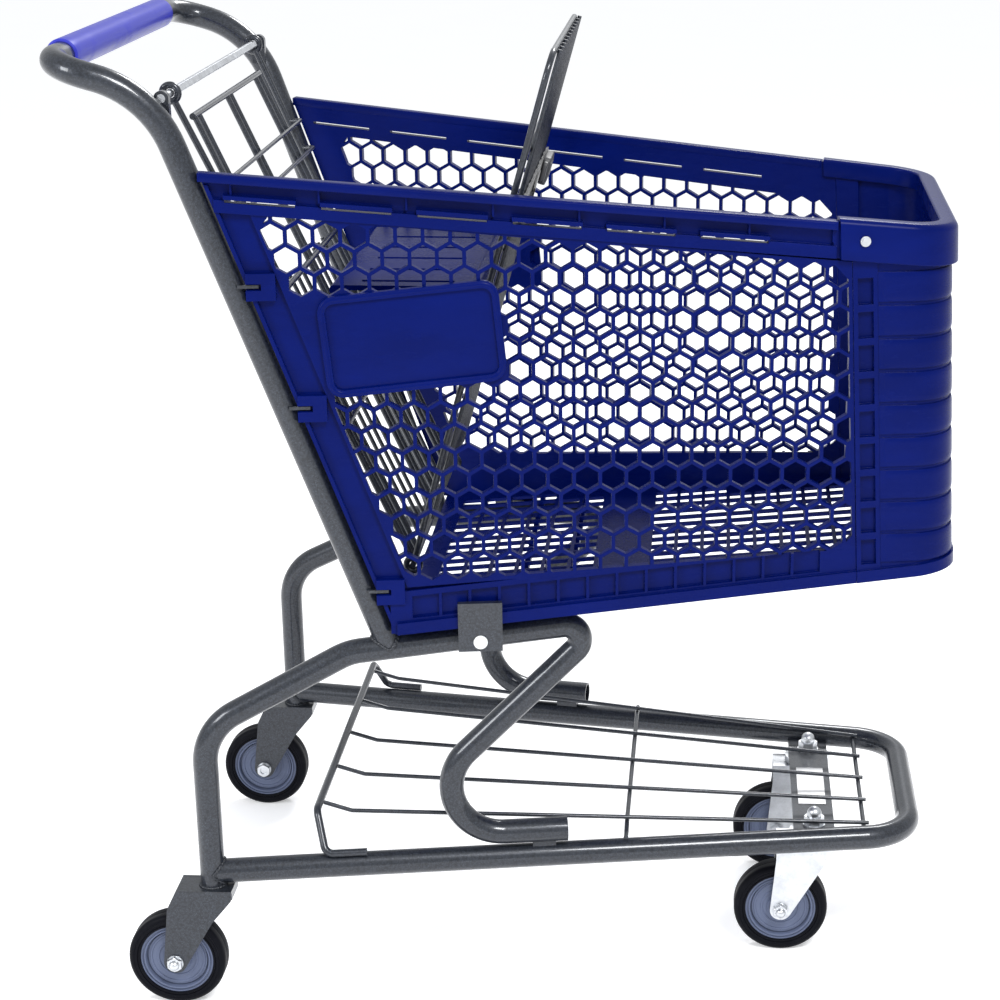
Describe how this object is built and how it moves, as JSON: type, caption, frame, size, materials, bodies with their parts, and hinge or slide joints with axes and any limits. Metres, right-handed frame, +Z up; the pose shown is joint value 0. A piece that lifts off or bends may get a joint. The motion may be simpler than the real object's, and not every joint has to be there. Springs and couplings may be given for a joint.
{
  "type": "shopping cart",
  "caption": "Shopping cart with a tubular steel chassis, a blue honeycomb plastic basket, a wire rear gate with folding child seat and swivel front casters.",
  "frame": {"origin": "centre of the bounding box on the floor", "axes": "+X forwards, +Y to the cart's left, +Z up"},
  "size_m": [0.8738, 0.5382, 0.982],
  "materials": {
    "painted_tube": "hammered grey powder coat",
    "bright_zinc": "bright zinc plate",
    "bearing_steel": "ground",
    "blue_plastic": "semi gloss moulded",
    "grip_plastic": "semi gloss",
    "tyre_rubber": "matt",
    "hub_plastic": "satin blue grey",
    "white_nylon": "satin",
    "webbing": "woven",
    "buckle_plastic": "satin",
    "blank_sticker": "blank sticker"
  },
  "bodies": {
    "root": {"handle_tube": "painted_tube", "handle_grip": "grip_plastic", "chassis_tube_right": "painted_tube", "chassis_tube_left": "painted_tube", "base_frame": "painted_tube", "foot_spacers": "painted_tube", "rack_hoop": "painted_tube", "rack_wires": "painted_tube", "rack_cross_wires": "painted_tube", "caster_plate": "painted_tube", "blank_label": "blank_sticker", "rear_fork_right": "painted_tube", "rear_fork_left": "painted_tube", "rear_axle_right": "bright_zinc", "rear_axle_left": "bright_zinc", "kingpin_right": "bright_zinc", "kingpin_left": "bright_zinc", "swivel_race_right": "bright_zinc", "swivel_race_left": "bright_zinc", "side_panel_right": "blue_plastic", "side_panel_left": "blue_plastic", "front_panel": "blue_plastic", "front_cap": "blue_plastic", "bottom_panel": "blue_plastic", "cap_rivets": "bright_zinc", "panel_hooks": "bright_zinc", "basket_bracket_right": "painted_tube", "basket_bracket_left": "painted_tube", "bracket_rivets": "white_nylon", "gate_hinge_bar": "bright_zinc", "hinge_lugs": "painted_tube"},
    "rear_wheel_right": {"rear_tyre_right": "tyre_rubber", "rear_hub_right": "hub_plastic", "rear_bearings_right": "bearing_steel"},
    "front_caster_right": {"caster_fork_right": "bright_zinc", "caster_axle_right": "bright_zinc"},
    "front_wheel_right": {"front_tyre_right": "tyre_rubber", "front_hub_right": "hub_plastic", "front_bearings_right": "bearing_steel"},
    "rear_wheel_left": {"rear_tyre_left": "tyre_rubber", "rear_hub_left": "hub_plastic", "rear_bearings_left": "bearing_steel"},
    "front_caster_left": {"caster_fork_left": "bright_zinc", "caster_axle_left": "bright_zinc"},
    "front_wheel_left": {"front_tyre_left": "tyre_rubber", "front_hub_left": "hub_plastic", "front_bearings_left": "bearing_steel"},
    "rear_gate": {"gate_frame": "painted_tube", "gate_wires": "painted_tube"},
    "seat_back": {"seat_back_frame": "painted_tube", "seat_back_wires": "painted_tube", "flap_rod": "bright_zinc", "belt_strap": "webbing", "belt_buckle": "buckle_plastic"},
    "seat_flap": {"seat_flap": "blue_plastic"}
  },
  "joints": [
    {"name": "rear_wheel_roll_right", "type": "hinge", "parent": "root", "child": "rear_wheel_right", "pos_m": [-0.35944, -0.24429, 0.0508], "axis": [0, 1, 0], "continuous": true},
    {"name": "caster_swivel_right", "type": "hinge", "parent": "root", "child": "front_caster_right", "pos_m": [0.30556, -0.1001, 0.13], "axis": [0, 0, 1], "continuous": true},
    {"name": "front_wheel_roll_right", "type": "hinge", "parent": "front_caster_right", "child": "front_wheel_right", "pos_m": [0.27156, -0.1001, 0.0508], "axis": [0, 1, 0], "continuous": true},
    {"name": "rear_wheel_roll_left", "type": "hinge", "parent": "root", "child": "rear_wheel_left", "pos_m": [-0.35944, 0.24429, 0.0508], "axis": [0, 1, 0], "continuous": true},
    {"name": "caster_swivel_left", "type": "hinge", "parent": "root", "child": "front_caster_left", "pos_m": [0.30556, 0.1001, 0.13], "axis": [0, 0, 1], "continuous": true},
    {"name": "front_wheel_roll_left", "type": "hinge", "parent": "front_caster_left", "child": "front_wheel_left", "pos_m": [0.27156, 0.1001, 0.0508], "axis": [0, 1, 0], "continuous": true},
    {"name": "gate_swing", "type": "hinge", "parent": "root", "child": "rear_gate", "pos_m": [-0.32094, 0, 0.933], "axis": [0, -1, 0], "range_deg": [0, 60]},
    {"name": "seat_fold", "type": "hinge", "parent": "rear_gate", "child": "seat_back", "pos_m": [-0.10942, 0, 0.46454], "axis": [0, -1, 0], "range_deg": [0, 35]},
    {"name": "flap_fold", "type": "hinge", "parent": "seat_back", "child": "seat_flap", "pos_m": [-0.04295, 0, 0.73988], "axis": [0, 1, 0], "range_deg": [0, 105]}
  ],
  "couplings": [
    {"joint": "flap_fold", "follows": "seat_fold", "ratio": 3}
  ]
}
